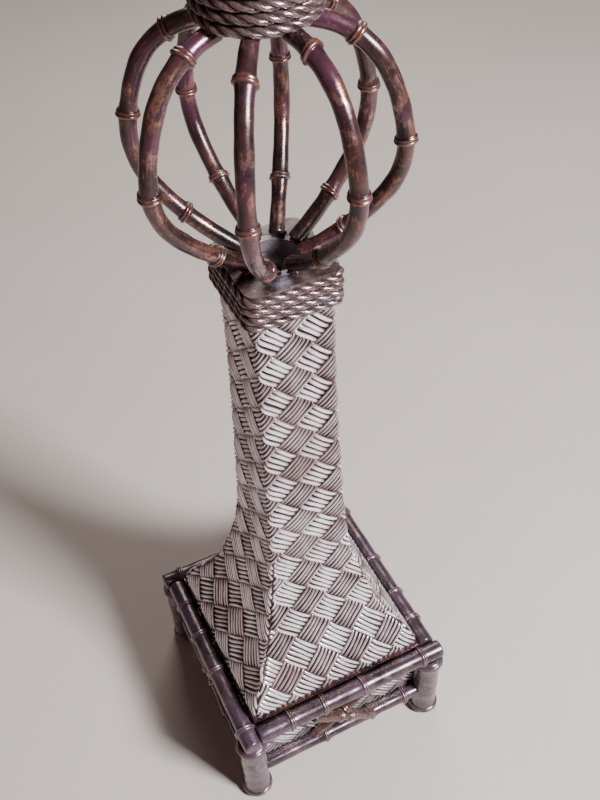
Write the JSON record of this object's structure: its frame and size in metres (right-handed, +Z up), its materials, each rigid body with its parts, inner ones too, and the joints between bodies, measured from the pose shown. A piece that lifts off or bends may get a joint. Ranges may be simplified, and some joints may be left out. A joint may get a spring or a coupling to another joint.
{
  "type": "tiki torch",
  "caption": "Ornamental garden torch stand: flared square woven column on a bamboo-railed plinth, open globe of bamboo ribs, and a rope-wrapped cup with a lift-out fuel canister and snuffer.",
  "frame": {"origin": "middle of the four feet on the ground", "axes": "+Z up along the column; +X and +Y square to the plinth's sides"},
  "size_m": [0.163, 0.163, 0.6285],
  "materials": {
    "bronzed_metal": "dark bronze paint with copper highlights, glossy",
    "bronzed_bamboo": "cast resin bamboo, dark plum-bronze paint, satin",
    "silvered_reed": "cast resin reed, silver paint with a brown wash, satin",
    "bronzed_rope": "cast resin rope, dark bronze paint rubbed with silver, satin",
    "core_wood": "plain turned and sanded softwood",
    "plate_steel": "dark bronze paint, satin",
    "fixing_steel": "zinc-plated steel",
    "felt": "pressed felt",
    "canister_steel": "bronzed sheet steel",
    "burner_brass": "aged brass",
    "wick_cotton": "braided cotton"
  },
  "bodies": {
    "stand": {"bottom_rail_back": "bronzed_bamboo", "bottom_rail_front": "bronzed_bamboo", "bottom_rail_left": "bronzed_bamboo", "bottom_rail_right": "bronzed_bamboo", "closure_plate": "plate_steel", "closure_screws": "fixing_steel", "collar_rope": "bronzed_rope", "column_core": "core_wood", "corner_block_back_left": "core_wood", "corner_block_back_right": "core_wood", "corner_block_front_left": "core_wood", "corner_block_front_right": "core_wood", "corner_post_back_left": "bronzed_bamboo", "corner_post_back_right": "bronzed_bamboo", "corner_post_front_left": "bronzed_bamboo", "corner_post_front_right": "bronzed_bamboo", "crown_hub": "bronzed_metal", "crown_rope": "bronzed_rope", "deck_plate": "plate_steel", "falling_twig_back": "bronzed_bamboo", "falling_twig_front": "bronzed_bamboo", "falling_twig_left": "bronzed_bamboo", "falling_twig_right": "bronzed_bamboo", "glide_pads": "felt", "head_dish": "bronzed_metal", "rib_1": "bronzed_metal", "rib_2": "bronzed_metal", "rib_3": "bronzed_metal", "rib_4": "bronzed_metal", "rib_5": "bronzed_metal", "rib_6": "bronzed_metal", "rib_7": "bronzed_metal", "rib_8": "bronzed_metal", "rising_twig_back": "bronzed_bamboo", "rising_twig_front": "bronzed_bamboo", "rising_twig_left": "bronzed_bamboo", "rising_twig_right": "bronzed_bamboo", "rod_nuts": "fixing_steel", "rod_washer": "fixing_steel", "side_panel_back": "silvered_reed", "side_panel_front": "silvered_reed", "side_panel_left": "silvered_reed", "side_panel_right": "silvered_reed", "tie_rod": "fixing_steel", "top_plate": "bronzed_metal", "top_rail_back": "bronzed_bamboo", "top_rail_front": "bronzed_bamboo", "top_rail_left": "bronzed_bamboo", "top_rail_right": "bronzed_bamboo", "torch_cup": "canister_steel", "under_rail_back": "bronzed_bamboo", "under_rail_front": "bronzed_bamboo", "under_rail_left": "bronzed_bamboo", "under_rail_right": "bronzed_bamboo", "woven_cover": "silvered_reed"},
    "canister": {"fuel_canister": "canister_steel"},
    "burner": {"burner_collar": "burner_brass", "wick": "wick_cotton"},
    "snuffer": {"snuffer_cap": "burner_brass"}
  },
  "joints": [
    {"name": "canister_lift", "type": "slide", "parent": "stand", "child": "canister", "axis": [0, 0, 1], "range_m": [0, 0.06]},
    {"name": "burner_lift", "type": "slide", "parent": "canister", "child": "burner", "axis": [0, 0, 1], "range_m": [0, 0.05]},
    {"name": "snuffer_lift", "type": "slide", "parent": "burner", "child": "snuffer", "axis": [0, 0, 1], "range_m": [0, 0.035]}
  ]
}
